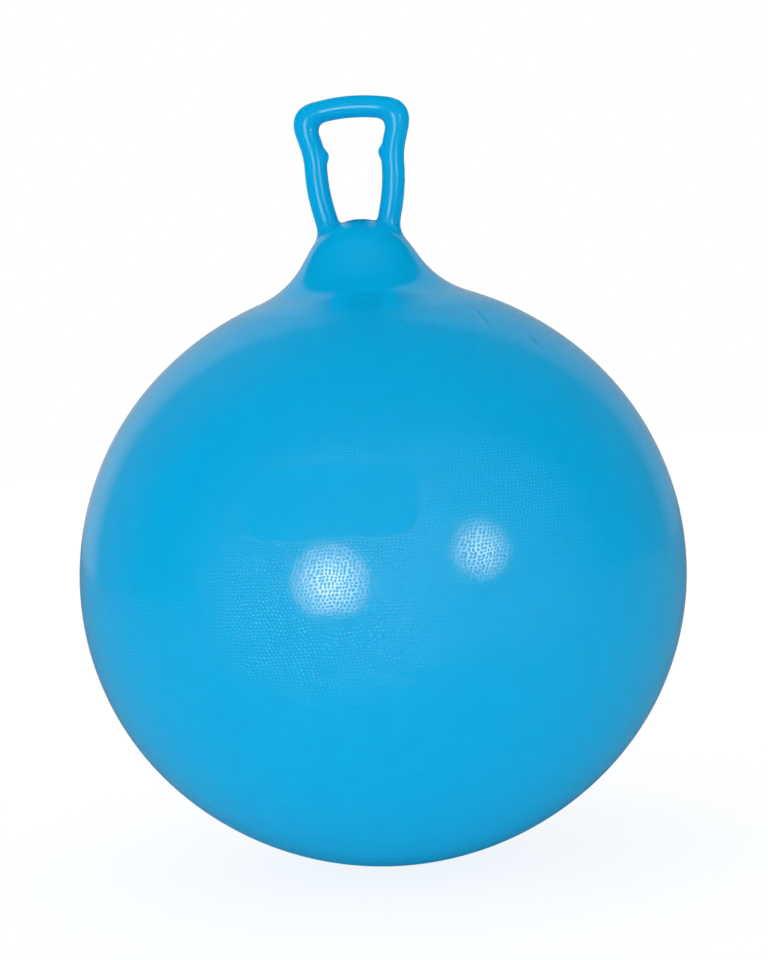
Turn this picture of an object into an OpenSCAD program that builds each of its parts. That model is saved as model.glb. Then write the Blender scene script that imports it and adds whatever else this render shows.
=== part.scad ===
// Hopper ball: an inflated vinyl ball with a moulded neck, a closed loop handle
// anchored in the crown of the neck, and an air valve with a push-in stopper.
// Millimetres, +Z up. The origin is the centre of the resting patch under the ball.
// The handle lies in the XZ plane and the valve is on the +Y side, the back.

/* [Ball] */
// Diameter of the inflated ball at its widest circle
ball_d = 600; // [500:5:700]
// Height from the round bottom, before it flattens, up to the widest circle
ball_low_h = 288; // [250:1:330]
// Height from the widest circle up to the round top, which the neck hides
ball_high_h = 292; // [250:1:330]
// Thickness of the stretched skin at the widest circle
skin_t = 0.8; // [0.6:0.1:3]
// Thickness of the skin at the round top, under the neck
shoulder_t = 2.4; // [1.5:0.1:5]
// Diameter of the patch that flattens where the ball rests
patch_d = 60; // [40:1:90]

/* [Neck] */
// Height of the neck's crown above the ball's round top
neck_h = 59; // [52:1:80]
// Radius of the domed crown
crown_r = 58; // [54:1:66]
// Half angle of the neck's cone
neck_angle = 33; // [28:1:40]
// Radius of the hollow curve between the ball and the neck
neck_blend_r = 90; // [60:1:120]
// Thickness of the neck's wall
neck_t = 3.4; // [2:0.1:6]
// Thickness of the solid crown at its middle
crown_t = 27; // [24:1:34]

/* [Handle] */
// Thickness of the legs
leg_d = 22.5; // [19:0.5:28]
// Thickness of the top bar, and of the anchor bar under the crown
bar_d = 21.5; // [18:0.5:27]
// How much further each shoulder corner swells on every side
shoulder_swell = 2; // [0:0.1:3]
// Width of the crown's edge outside each foot
foot_edge = 8; // [5:0.5:10]
// How much wider a foot is on every side, under the crown, than its leg
foot_flare = 2.4; // [1:0.2:4]
// Height of the ankle bow's corner above the crown
ankle_h = 30; // [24:1:42]
// How far the ankle bow's corner stands out from the foot
ankle_spread = 9; // [5:0.2:12]
// Height of the waist's corner above the ankle's
waist_rise = 34; // [28:1:45]
// Height of the shoulder's corner above the waist's
shoulder_rise = 40; // [34:0.5:55]
// How far the shoulder's corner stands out from the waist's
shoulder_spread = 11.2; // [6:0.2:16]
// Height of the top bar's peak above the shoulder corners
peak_rise = 8.4; // [4:0.2:14]
// Inside radius of the shoulder corners
shoulder_in_r = 4; // [2:0.2:6]
// Inside radius of the waist bend
waist_in_r = 70; // [40:1:90]
// Inside radius of the anchor bar's corners
anchor_in_r = 1.6; // [1:0.2:3]
// How far each finger stop stands out of its leg
stop_h = 3.2; // [1:0.1:4]
// Width of the finger stops
stop_w = 21; // [12:1:22]

/* [Valve] */
// Angle of the valve above the widest circle, on the back
valve_angle = 36; // [10:1:42]
// Diameter of the air passage
passage_d = 8; // [6:0.2:10]
// Thickness of the pad of skin around the valve
pad_t = 5; // [4:0.2:8]
// Width of the pad outside the bush's flange
pad_margin = 3; // [2:0.5:6]
// Width of the bush's rim around the stopper's head
rim_w = 3.2; // [2:0.2:5]
// Width of the bush's flange outside its rim, inside the ball
flange_w = 5; // [3:0.2:8]
// Thickness of the bush's flange
flange_t = 2.4; // [1.6:0.2:4]
// Thickness of the sleeve's wall
sleeve_wall = 3; // [2:0.2:5]
// Length of the sleeve below the flange
sleeve_len = 17.6; // [12:0.2:24]
// Diameter of the stopper's head
head_d = 17; // [15:0.5:22]
// Thickness of the stopper's head
head_t = 2.2; // [1.6:0.2:3]
// Length of the stopper's stem below its head
stem_len = 17; // [14:0.5:22]
// Number of sealing ribs on the stem
rib_count = 3; // [2:1:4]

/* [Hidden] */
$fn = 96;
vinyl_blue = "#109FDD";
stopper_white = "#F1F2EE";

// Clearance of the handle's feet in the crown's bores
handle_gap = 0.1;
// Clearance of the anchor bar's bends under the crown
under_gap = 0.5;
// Clearance of the bush's rim in the pad's hole
rim_gap = 0.05;
// Clearance of the stopper's ribs in the air passage
rib_gap = 0.05;
// Clearance round the stopper's head in its recess
head_gap = 0.3;
// Overrun of every cut
cut = 1;

// The ball is an oval of revolution. In each half a polar arc meets an
// equatorial arc at this angle from the axis, with a common tangent.
arc_angle = 45;
ball_r = ball_d / 2;

// Distance that the arc centres of an oval with radius a and height b lie from its middle
function oval_shift(a, b) = (a - b) / (tan(arc_angle) + 1 - 1 / cos(arc_angle));
// Radius of the polar arc
function polar_r(a, b) = b + oval_shift(a, b);
// Radius of the equatorial arc
function equator_r(a, b) = a - oval_shift(a, b) * tan(arc_angle);

// Height of the flattened patch above the round bottom, and of the widest circle above the patch
patch_rise = polar_r(ball_r, ball_low_h)
    - sqrt(pow(polar_r(ball_r, ball_low_h), 2) - pow(patch_d / 2, 2));
equator_z = ball_low_h - patch_rise;
// Height of the crown above the widest circle, and above the patch
crown_h = ball_high_h + neck_h;
crown_z = equator_z + crown_h;

// Step of the points along the arcs of an outline, in degrees
arc_step = 2;

// Point at a distance along an angle, in the plane of a section
function polar(distance, angle) = distance * [cos(angle), sin(angle)];

// Points along an arc without its end, which the next stretch of an outline starts with
function arc(centre, r, from, to) = let (steps = ceil(abs(to - from) / arc_step))
    [for (i = [0 : steps - 1]) centre + polar(r, from + (to - from) * i / steps)];

// Half outline of a ball with a neck, from the bottom of the axis to its top, with the widest
// circle at height zero. a, low and high are the oval's radius and its heights. The cone and
// the crown lie inset from the neck's outside, and blend is the radius of the hollow curve.
function neck_ball_outline(a, low, high, inset, blend) = let (
    low_shift = oval_shift(a, low),
    high_shift = oval_shift(a, high),
    top_r = polar_r(a, high),
    top_centre = [0, -high_shift],
    crown_centre = [0, crown_h - crown_r],
    normal = polar(1, neck_angle),
    slope = polar(1, neck_angle - 90),
    // The hollow curve's centre lies blend away from the cone, and run along its slope,
    // where it is top_r + blend away from the centre of the oval's top arc
    crown_edge = crown_centre + (crown_r - inset) * normal,
    from_top = crown_edge + blend * normal - top_centre,
    along = from_top * slope,
    run = -along - sqrt(along * along - from_top * from_top + pow(top_r + blend, 2)),
    to_blend = from_top + run * slope,
    blend_angle = atan2(to_blend[1], to_blend[0])
) concat(
    arc([0, low_shift], polar_r(a, low), -90, arc_angle - 90),
    arc([low_shift * tan(arc_angle), 0], equator_r(a, low), arc_angle - 90, 0),
    arc([high_shift * tan(arc_angle), 0], equator_r(a, high), 0, 90 - arc_angle),
    arc(top_centre, top_r, 90 - arc_angle, blend_angle),
    arc(top_centre + to_blend, blend, blend_angle + 180, neck_angle + 180),
    arc(crown_centre, crown_r - inset, neck_angle, 90),
    [crown_centre + [0, crown_r - inset]]
);

// Outline cut off at a floor and a ceiling above the resting patch, and turned about the axis
module turned_ball(outline, floor_z, ceiling_z) {
    translate([0, 0, equator_z]) rotate_extrude() intersection() {
        polygon(outline);
        translate([0, floor_z - equator_z]) square([ball_d, ceiling_z - floor_z]);
    }
}

module ball_outside() {
    turned_ball(neck_ball_outline(ball_r, ball_low_h, ball_high_h, 0, neck_blend_r),
        0, crown_z + cut);
}

// The air space: the skin thickens from the widest circle to the neck, and the crown is solid
module ball_inside() {
    turned_ball(neck_ball_outline(ball_r - skin_t, ball_low_h - skin_t,
        ball_high_h - shoulder_t, neck_t, neck_blend_r + neck_t), skin_t, crown_z - crown_t);
}

// How far the crown's dome has fallen at a distance from the axis
function crown_sag(x) = crown_r - sqrt(crown_r * crown_r - x * x);
function unit(v) = v / norm(v);
function mirrored(p) = [-p[0], p[1]];
// Heading of the line from a to b, and how far the line turns at b towards c
function heading(a, b) = atan2(b[1] - a[1], b[0] - a[0]);
function swing(a, b, c) = let (turn = heading(b, c) - heading(a, b)) turn - 360 * round(turn / 360);
// Length from a corner b to the end of its bend, and the radius of a bend with a given length
function tangent_len(a, b, c, r) = r * tan(abs(swing(a, b, c)) / 2);
function tangent_r(a, b, c, len) = len / tan(abs(swing(a, b, c)) / 2);

// Corners of the handle's centre line in the XZ plane, on the right leg and with heights above
// the crown: the foot where it leaves the dome, and up from there to the peak of the top bar
leg_r = leg_d / 2;
bar_r = bar_d / 2;
foot_r = leg_r + foot_flare;
foot_x = crown_r * cos(neck_angle) - foot_edge - leg_r;
foot_point = [foot_x, -crown_sag(foot_x)];
ankle_point = [foot_x + ankle_spread, ankle_h];
waist_point = ankle_point + [0, waist_rise];
shoulder_point = waist_point + [shoulder_spread, shoulder_rise];
peak_point = [0, shoulder_point[1] + peak_rise];

// The feet taper along the leaning legs, from under the crown up to the crown's height. Below
// them, bends lead to the anchor bar, which closes the loop under the crown.
leg_along = unit(ankle_point - foot_point);
foot_end = foot_point - leg_along * foot_point[1] / leg_along[1];
foot_len = (crown_t + under_gap + foot_r * leg_along[0]) / leg_along[1];
foot_start = foot_end - leg_along * foot_len;
anchor_bend_r = anchor_in_r + foot_r;
anchor_point = foot_start - leg_along * anchor_bend_r * tan(acos(leg_along[0]) / 2);

// Each bend's radius. The ankle bow and the arch of the top bar take up a share of the
// straight length beside them.
waist_bend_r = waist_in_r + leg_r;
shoulder_bend_r = shoulder_in_r + leg_r;
bow_share = 0.92;
ankle_len = bow_share * min(norm(ankle_point - foot_end),
    waist_rise - tangent_len(ankle_point, waist_point, shoulder_point, waist_bend_r));
ankle_bend_r = tangent_r(foot_end, ankle_point, waist_point, ankle_len);
arch_len = bow_share * (norm(peak_point - shoulder_point)
    - tangent_len(waist_point, shoulder_point, peak_point, shoulder_bend_r));
arch_r = tangent_r(shoulder_point, peak_point, mirrored(shoulder_point), arch_len);

// Direction out of the loop, to the right of a heading
function outward(heading) = [sin(heading), -cos(heading)];

// Places along the bend at corner b, each as [point, direction out of the loop, bar radius].
// The radius runs from one value to another and swells in the middle.
function bend_places(a, b, c, bend_r, from_r, to_r, swell, steps) = let (
    turn = swing(a, b, c),
    signed_r = sign(turn) * bend_r,
    start = b - unit(b - a) * tangent_len(a, b, c, bend_r),
    centre = start - signed_r * outward(heading(a, b))
) [for (i = [0 : steps]) let (
    out = outward(heading(a, b) + turn * i / steps),
    bar_r = from_r + (to_r - from_r) * i / steps + swell * pow(sin(180 * i / steps), 2)
) [centre + signed_r * out, out, bar_r]];

// Places along the right half of the loop, from the anchor bar to the peak, and along the whole
anchor_steps = 10;
ankle_steps = 4;
waist_steps = 8;
shoulder_steps = 14;
arch_steps = 3;
arch_places = bend_places(shoulder_point, peak_point, mirrored(shoulder_point), arch_r,
    bar_r, bar_r, 0, 2 * arch_steps);
right_places = concat(
    bend_places(mirrored(anchor_point), anchor_point, ankle_point, anchor_bend_r,
        bar_r, foot_r, 0, anchor_steps),
    [[foot_end, outward(heading(foot_end, ankle_point)), leg_r]],
    bend_places(foot_end, ankle_point, waist_point, ankle_bend_r, leg_r, leg_r, 0, ankle_steps),
    bend_places(ankle_point, waist_point, shoulder_point, waist_bend_r, leg_r, leg_r, 0, waist_steps),
    bend_places(waist_point, shoulder_point, peak_point, shoulder_bend_r,
        leg_r, bar_r, shoulder_swell, shoulder_steps),
    [for (i = [0 : arch_steps]) arch_places[i]]
);
loop_places = concat(right_places, [for (i = [len(right_places) - 2 : -1 : 0])
    [mirrored(right_places[i][0]), mirrored(right_places[i][1]), right_places[i][2]]]);

// A finger stop is a round wave in the surface, about a point inside each leg at the waist
stop_point = [waist_point[0] - leg_r, 0, waist_point[1]];
function on_place(place, angle, r) = [
    place[0][0] + r * cos(angle) * place[1][0],
    r * sin(angle),
    place[0][1] + r * cos(angle) * place[1][1]
];
function stop_rise(p) = let (away = norm([abs(p[0]), p[1], p[2]] - stop_point) / (stop_w / 2))
    stop_h * (1 + cos(180 * min(1, away))) / 2;
function surface_point(place, angle) = on_place(place, angle,
    place[2] + stop_rise(on_place(place, angle, place[2])));

// A round bar carried along the whole loop, as rings of points joined by triangles
handle_sides = 32;
module swept_loop() {
    rings = len(loop_places);
    points = [for (place = loop_places) for (j = [0 : handle_sides - 1])
        surface_point(place, 360 * j / handle_sides)];
    function corner(i, j) = (i % rings) * handle_sides + j % handle_sides;
    faces = [for (i = [0 : rings - 1]) for (j = [0 : handle_sides - 1]) each [
        [corner(i, j), corner(i + 1, j), corner(i + 1, j + 1)],
        [corner(i, j), corner(i + 1, j + 1), corner(i, j + 1)]
    ]];
    polyhedron(points, faces);
}

// The space that the two feet need in the crown, open below it and above it
module foot_bores() {
    bore_r = foot_r + handle_gap;
    for (side = [-1, 1])
        translate([side * foot_start[0], 0, crown_z + foot_start[1]])
            rotate([0, side * asin(leg_along[0]), 0]) rotate_extrude() polygon([
                [0, -bore_r],
                [bore_r, -bore_r],
                [bore_r, 0],
                [leg_r + handle_gap, foot_len],
                [0, foot_len]
            ]);
}

// Radii of the valve, from the air passage and the stopper's head outwards
passage_r = passage_d / 2;
sleeve_r = passage_r + sleeve_wall;
head_r = head_d / 2;
recess_r = head_r + head_gap;
rim_r = recess_r + rim_w;
flange_r = rim_r + flange_w;
pad_r = flange_r + pad_margin;

// Puts its children on the valve's axis, with the skin's outside at height zero
module at_valve() {
    shift = oval_shift(ball_r, ball_high_h) * tan(arc_angle);
    on_skin = [shift, equator_z] + polar(equator_r(ball_r, ball_high_h), valve_angle);
    translate([0, on_skin[0], on_skin[1]]) rotate([valve_angle - 90, 0, 0]) children();
}

// The vinyl skin, its neck and its solid crown, one moulding. Two tapered bores in the crown
// hold the handle's feet, and a thickened pad on the back holds the valve bush.
module ball_skin() {
    color(vinyl_blue) difference() {
        ball_outside();
        difference() {
            ball_inside();
            at_valve() translate([0, 0, -pad_t]) cylinder(r = pad_r, h = pad_t + cut);
        }
        foot_bores();
        at_valve() translate([0, 0, -pad_t - cut])
            cylinder(r = rim_r + rim_gap, h = pad_t + 2 * cut);
    }
}

// The handle: a closed loop of round bar, with a finger stop inside each leg at the waist, feet
// that widen into the crown, and an anchor bar under the crown that keeps it from pulling out
module loop_handle() {
    color(vinyl_blue) translate([0, 0, crown_z]) swept_loop();
}

// The valve bush: a rim in the pad's hole, a flange behind the pad and a sleeve around the
// air passage, with a recess in the rim for the stopper's head
module valve_bush() {
    flange_z = -pad_t - flange_t;
    color(vinyl_blue) at_valve() rotate_extrude() polygon([
        [recess_r, 0],
        [rim_r, 0],
        [rim_r, -pad_t],
        [flange_r, -pad_t],
        [flange_r, flange_z],
        [sleeve_r, flange_z],
        [sleeve_r, flange_z - sleeve_len],
        [passage_r, flange_z - sleeve_len],
        [passage_r, -head_t],
        [recess_r, -head_t]
    ]);
}

// The stopper: a flat head with a dished top, and a stem with sealing ribs and a tapered tip
module valve_stopper() {
    rib_r = passage_r - rib_gap;
    core_share = 0.82;
    core_r = core_share * rib_r;
    tip_share = 0.6;
    rib_pitch = stem_len / (rib_count + 1);
    // Each rib takes this share of the pitch, and this share of the rib is its flat crest
    rib_share = 0.55;
    crest_share = 0.4;
    rib_half = rib_pitch * rib_share / 2;
    crest_half = rib_half * crest_share;
    edge_share = 0.3;
    edge = edge_share * head_t;
    // The dish is this share of the head's width across and this share of its thickness deep
    dish_share = 0.6;
    dish_depth_share = 0.25;
    dish_half = dish_share * head_r;
    dish_depth = dish_depth_share * head_t;
    dish_r = (dish_half * dish_half + dish_depth * dish_depth) / (2 * dish_depth);
    ribs = [for (i = [1 : rib_count]) let (z = -head_t - i * rib_pitch) each [
        [core_r, z + rib_half],
        [rib_r, z + crest_half],
        [rib_r, z - crest_half],
        [core_r, z - rib_half]
    ]];
    color(stopper_white) at_valve() difference() {
        rotate_extrude() polygon(concat(
            [[0, 0], [head_r - edge, 0], [head_r, -edge], [head_r, -head_t], [core_r, -head_t]],
            ribs,
            [[tip_share * core_r, -head_t - stem_len], [0, -head_t - stem_len]]
        ));
        translate([0, 0, dish_r - dish_depth]) sphere(dish_r);
    }
}

ball_skin();
loop_handle();
valve_bush();
valve_stopper();
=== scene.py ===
# %% [markdown]
# # A hopper ball
#
# A child sits on this ball, holds the loop on its top and bounces along. It is one hollow skin
# of soft blue vinyl, drawn up into a smooth neck, with a glossy loop handle set into the
# neck's crown and an air valve on the back. The ball itself is covered in fine round pips,
# which give a grip, and the neck is plain.
#
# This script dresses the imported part. Each piece is worked out as arrays of points, from the
# same few sizes as the solid that it stands for, so it lies where that solid lies.

# %% Load the part and keep its box
import math

import bpy
import numpy as np
from mathutils import Matrix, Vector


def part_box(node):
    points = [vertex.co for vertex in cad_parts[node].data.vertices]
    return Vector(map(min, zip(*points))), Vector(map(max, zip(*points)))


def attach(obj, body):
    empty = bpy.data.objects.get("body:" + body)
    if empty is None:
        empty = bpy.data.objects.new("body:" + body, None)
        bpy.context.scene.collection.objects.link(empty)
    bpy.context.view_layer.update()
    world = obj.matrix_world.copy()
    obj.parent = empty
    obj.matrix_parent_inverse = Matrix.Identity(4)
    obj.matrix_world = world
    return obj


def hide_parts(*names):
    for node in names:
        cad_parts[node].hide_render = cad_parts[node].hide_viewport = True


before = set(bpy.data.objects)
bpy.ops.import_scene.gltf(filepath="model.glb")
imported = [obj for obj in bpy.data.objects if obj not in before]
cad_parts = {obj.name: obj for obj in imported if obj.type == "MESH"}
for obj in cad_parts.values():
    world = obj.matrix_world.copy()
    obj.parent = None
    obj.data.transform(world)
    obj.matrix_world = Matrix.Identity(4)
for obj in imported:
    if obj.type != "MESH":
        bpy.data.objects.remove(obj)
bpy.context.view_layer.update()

# %% [markdown]
# ## The sizes
#
# Blender works in metres and a toy is drawn in millimetres, so every size below is a number of
# millimetres times MM. The ball's radius and the crown's height come from the part itself. The
# rest are the driving sizes that the solids were built from, and a few that only a dressed piece
# has, such as a softened edge. The corners of the handle's opening are a little fuller here than in
# its solid, and its arch is a little flatter to suit them.

# %% Sizes of the ball, the neck, the handle and the valve
MM = 0.001
skin_low, skin_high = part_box("ball_skin")
ball_r = min(-skin_low.x, skin_high.x, -skin_low.y, skin_high.y)
crown_z = skin_high.z
# The round bottom and the round top, measured from the widest circle, and the wall of the skin
low_h = 288 * MM
high_h = 292 * MM
skin_t = 0.8 * MM
shoulder_t = 2.4 * MM
# The neck: its crown above the round top, the dome's radius, the half angle of the cone, the
# hollow curve that runs out onto the ball, the wall, and the solid crown
neck_h = 59 * MM
crown_r = 58 * MM
neck_angle = math.radians(33)
blend_r = 90 * MM
neck_t = 3.4 * MM
crown_t = 27 * MM
widest_z = crown_z - neck_h - high_h
# The handle's bars, the corners of its middle line above the crown, its bends, the swell of its
# shoulders, the vinyl that fills the corners of its opening, and its finger stops
leg_r = 11.25 * MM
bar_r = 10.75 * MM
foot_r = leg_r + 2.4 * MM
foot_edge = 8 * MM
ankle_rise = np.array([9, 30]) * MM
waist_rise = np.array([0, 34]) * MM
shoulder_rise = np.array([11.2, 40]) * MM
peak_rise = 8.05 * MM
shoulder_bend_r = 4 * MM + leg_r
waist_bend_r = 70 * MM + leg_r
anchor_bend_r = 1.6 * MM + foot_r
under_gap = 0.5 * MM
shoulder_swell = 2 * MM
corner_fill = 2.4 * MM
fill_run = 5.4 * MM
stop_h = 3.2 * MM
stop_w = 21 * MM
# The valve: its angle above the widest circle, the radii from the air passage outwards, the depths
# below the skin, the play round the bush and the ribs, the rounded lip of the hole, the slope at the
# pad's edge, and the softened edges
valve_angle = math.radians(36)
passage_r = 4 * MM
sleeve_r = 7 * MM
head_r = 8.5 * MM
recess_r = 8.8 * MM
rim_r = 12 * MM
flange_r = 17 * MM
pad_r = 20 * MM
head_t = 2.2 * MM
pad_t = 5 * MM
flange_t = 2.4 * MM
sleeve_len = 17.6 * MM
stem_len = 17 * MM
hole_play = 0.05 * MM
hole_lip = 0.8 * MM
pad_slope = 2 * MM
bush_edge_r = 0.5 * MM
stopper_edge_r = 0.3 * MM
print(f"ball {2 * ball_r:.4f} m across, widest at {widest_z:.4f} m, crown at {crown_z:.4f} m")

# %% [markdown]
# ## From arrays to a mesh
#
# Every piece here is a grid: rows of points, each row a closed ring. Neighbouring rings are
# joined by four-sided faces, and a ring that shrinks to the axis ends in a fan of triangles. A
# face points outwards if rows go up and columns go round anticlockwise, as seen from above.


# %% Faces of a grid, and a piece made of them
def ring_faces(index):
    """Quads between neighbouring rows of an index array, with the last column joined to the first."""
    right = np.roll(index, -1, axis=1)
    return np.stack([index[:-1], right[:-1], right[1:], index[1:]], axis=-1).reshape(-1, 4)


def fan_faces(pole, ring):
    """Triangles from one point to each side of a ring that runs anticlockwise as seen from outside."""
    return np.stack([np.full_like(ring, pole), ring, np.roll(ring, -1)], axis=-1)


def make_piece(name, points, faces, body, node):
    """A smooth mesh at the origin that rides on a body, and stands for a solid if one is named."""
    mesh = bpy.data.meshes.new(name)
    mesh.from_pydata(points.tolist(), [], [face for part in faces for face in part.tolist()])
    mesh.polygons.foreach_set("use_smooth", np.ones(len(mesh.polygons), bool))
    mesh.update()
    piece = bpy.data.objects.new(name, mesh)
    bpy.context.scene.collection.objects.link(piece)
    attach(piece, body)
    if node:
        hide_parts(node)
    print(name, len(mesh.vertices), "points", len(mesh.polygons), "faces")
    return piece


# %% [markdown]
# ## The outline of the skin
#
# The ball isn't a true sphere: air pressure and the weight of the neck leave it a little lower
# than it is wide. Its outline is an oval of arcs that meet with a common tangent at 45 degrees,
# then a hollow curve, a short cone and the dome of the crown. A sphere with a cone on it would
# show a crease where they meet. The bottom is cut flat where the ball rests.

# %% Half outline from the bottom of the axis to its top
ROWS = 180
ARC_POINTS = 400


def arc(centre, r, start, end):
    """Points on a circle about a centre, from one angle to another."""
    angle = np.linspace(start, end, ARC_POINTS)
    return np.array(centre) + r * np.stack([np.cos(angle), np.sin(angle)], axis=-1)


def oval_shift(a, b):
    """Distance of the arc centres from the middle of an oval with half width a and half height b."""
    return (a - b) / (2 - math.sqrt(2))


def neck_ball_outline(a, low, high, inset, blend, floor_z, ceiling_z):
    """Rows of (radius, height), evenly spaced along the outline of an oval with a neck.

    The hollow curve's centre lies a blend radius off the cone and a blend radius off the oval's
    top arc, so it is where a line beside the cone crosses a circle about that arc's centre.
    """
    low_shift = oval_shift(a, low)
    high_shift = oval_shift(a, high)
    top_centre = np.array([0, -high_shift])
    top_r = high + high_shift
    crown_centre = np.array([0, high_h + neck_h - crown_r])
    normal = np.array([math.cos(neck_angle), math.sin(neck_angle)])
    slope = np.array([math.sin(neck_angle), -math.cos(neck_angle)])
    from_top = crown_centre + (crown_r - inset + blend) * normal - top_centre
    along = from_top @ slope
    run = -along - math.sqrt(along**2 - from_top @ from_top + (top_r + blend) ** 2)
    to_blend = from_top + run * slope
    blend_angle = math.atan2(to_blend[1], to_blend[0])
    quarter = math.pi / 4
    line = np.concatenate([
        arc((0, low_shift), low + low_shift, -2 * quarter, -quarter),
        arc((low_shift, 0), a - low_shift, -quarter, 0),
        arc((high_shift, 0), a - high_shift, 0, quarter),
        arc(top_centre, top_r, quarter, blend_angle),
        arc(top_centre + to_blend, blend, blend_angle + math.pi, neck_angle + math.pi),
        arc(crown_centre, crown_r - inset, neck_angle, 2 * quarter),
    ])
    line[:, 1] = np.clip(line[:, 1] + widest_z, floor_z, ceiling_z)
    length = np.concatenate([[0], np.cumsum(np.hypot(*np.diff(line, axis=0).T))])
    even = np.linspace(0, length[-1], ROWS + 2)
    return np.stack([np.interp(even, length, line[:, 0]), np.interp(even, length, line[:, 1])], axis=-1)


outside = neck_ball_outline(ball_r, low_h, high_h, 0, blend_r, 0, crown_z)
air_space = neck_ball_outline(ball_r - skin_t, low_h - skin_t, high_h - shoulder_t,
                              neck_t, blend_r + neck_t, skin_t, crown_z - crown_t)
print(f"outline {np.hypot(*np.diff(outside, axis=0).T).sum():.3f} m long in {ROWS} rows")

# %% [markdown]
# ## The skin
#
# The skin is turned twice, once for its outside and once for the air space, so that the ball is
# hollow as the real one is. A turned surface has no room for a hole on its side, so a window of
# faces is left out round the valve, and a stack of rings leads from the window's edge down
# through the hole to the same window in the air space. A boolean cut would leave long thin
# faces there, and they show as flaws in a glossy skin.

# %% Turn the two surfaces and join them through the valve hole
COLUMNS = 240
WINDOW_ROWS = 6
WINDOW_COLUMNS = 5
shift = oval_shift(ball_r, high_h)
valve_axis = np.array([0, math.cos(valve_angle), math.sin(valve_angle)])
valve_up = np.array([0, -math.sin(valve_angle), math.cos(valve_angle)])
valve_right = np.array([-1.0, 0, 0])
valve_point = np.array([0, shift, widest_z]) + (ball_r - shift) * valve_axis


def turn(outline):
    """Grid of points: each row of an outline carried round the axis, without the two ends."""
    angle = np.linspace(0, 2 * math.pi, COLUMNS, endpoint=False)
    r = outline[1:-1, :1]
    z = np.broadcast_to(outline[1:-1, 1:], (ROWS, COLUMNS))
    return np.stack([r * np.cos(angle), r * np.sin(angle), z], axis=-1)


def window(grid):
    """First row and column of the window round the valve, and the index ring along its edge."""
    middle = np.argmin(np.linalg.norm(grid[:, COLUMNS // 4] - valve_point, axis=-1))
    i = np.arange(middle - WINDOW_ROWS, middle + WINDOW_ROWS + 1)
    j = np.arange(COLUMNS // 4 - WINDOW_COLUMNS, COLUMNS // 4 + WINDOW_COLUMNS + 1)
    index = np.arange(ROWS * COLUMNS).reshape(ROWS, COLUMNS)[np.ix_(i, j)]
    edge = np.concatenate([index[0, :-1], index[:-1, -1], index[-1, :0:-1], index[:0:-1, 0]])
    return i[0], j[0], edge


def open_grid(first_row, first_column, offset):
    """Quads of a turned grid without those in the window, and the two fans at its ends."""
    index = offset + np.arange(ROWS * COLUMNS).reshape(ROWS, COLUMNS)
    keep = np.ones((ROWS - 1, COLUMNS), bool)
    keep[first_row:first_row + 2 * WINDOW_ROWS, first_column:first_column + 2 * WINDOW_COLUMNS] = False
    bottom = fan_faces(offset + ROWS * COLUMNS, index[0, ::-1])
    top = fan_faces(offset + ROWS * COLUMNS + 1, index[-1])
    return [ring_faces(index)[keep.ravel()], bottom, top]


def onto_skin(points):
    """Points moved to the skin's outside, along lines from the circle of arc centres."""
    flat = np.hypot(points[..., 0], points[..., 1])
    reach = (ball_r - shift) / np.hypot(flat - shift, points[..., 2] - widest_z)
    share = (shift + (flat - shift) * reach) / flat
    z = widest_z + (points[..., 2] - widest_z) * reach
    return np.stack([points[..., 0] * share, points[..., 1] * share, z], axis=-1)


def with_ends(outline):
    """Points of a turned grid in one list, with its lowest and highest point on the axis."""
    ends = np.array([[0, 0, outline[0, 1]], [0, 0, outline[-1, 1]]])
    return np.concatenate([turn(outline).reshape(-1, 3), ends])


outer_row, outer_column, outer_edge = window(turn(outside))
inner_row, inner_column, inner_edge = window(turn(air_space))
skin_points = with_ends(outside)
air_points = with_ends(air_space)
edge_offset = skin_points[outer_edge] - valve_point
edge_angle = np.arctan2(edge_offset @ valve_up, edge_offset @ valve_right)
edge_r = np.hypot(edge_offset @ valve_up, edge_offset @ valve_right)
edge_along = np.cos(edge_angle)[:, None] * valve_right + np.sin(edge_angle)[:, None] * valve_up

# Rings on the skin from the window in to the lip, then (radius, depth) round the lip, which starts
# a little below the middle of the valve, down the hole and out under the pad
SKIN_RINGS = 6
hole_r = rim_r + hole_play
lip_z = 0.25 * MM
share = np.linspace(0, 1, SKIN_RINGS + 1)[1:, None]
ring_r = (1 - share) * edge_r + share * (hole_r + hole_lip)
on_skin = onto_skin(valve_point + ring_r[..., None] * edge_along)
hole = np.array([
    [hole_r + 0.5 * hole_lip, lip_z + 0.14 * hole_lip],
    [hole_r + 0.14 * hole_lip, lip_z + 0.5 * hole_lip],
    [hole_r, lip_z + hole_lip],
    [hole_r, pad_t],
    [pad_r, pad_t],
    [pad_r + pad_slope, 2 * skin_t],
])
in_hole = valve_point + hole[:, :1, None] * edge_along - hole[:, 1:, None] * valve_axis
rings = np.concatenate([on_skin, in_hole])
air_offset = len(skin_points)
ring_offset = air_offset + len(air_points)
ring_index = ring_offset + np.arange(rings.shape[0] * rings.shape[1]).reshape(rings.shape[:2])
stack = np.concatenate([outer_edge[None], ring_index, air_offset + inner_edge[None]])
outer_faces = open_grid(outer_row, outer_column, 0)
inner_faces = [part[:, ::-1] for part in open_grid(inner_row, inner_column, air_offset)]
skin = make_piece("skin", np.concatenate([skin_points, air_points, rings.reshape(-1, 3)]),
                  outer_faces + inner_faces + [ring_faces(stack)],
                  "ball", "ball_skin")

# %% [markdown]
# ## The handle
#
# The handle is one bar of solid vinyl in a closed loop. Its legs bow in at the ankles, out at
# the waist and swell at the shoulders. Vinyl fills the corners of the opening, so that they don't
# cut into the hand, and inside each waist a small rise keeps the fingers apart. Under the crown
# the feet widen and an anchor bar closes the loop, so that it can't be pulled out. A curve with a
# round bevel would give a bar of one thickness with pinched inside corners. Here each place along
# the loop has its own radius, and a ring of points stands on it.


# %% The middle line of the loop, as bends between corners
BEND_POINTS = 60


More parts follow.
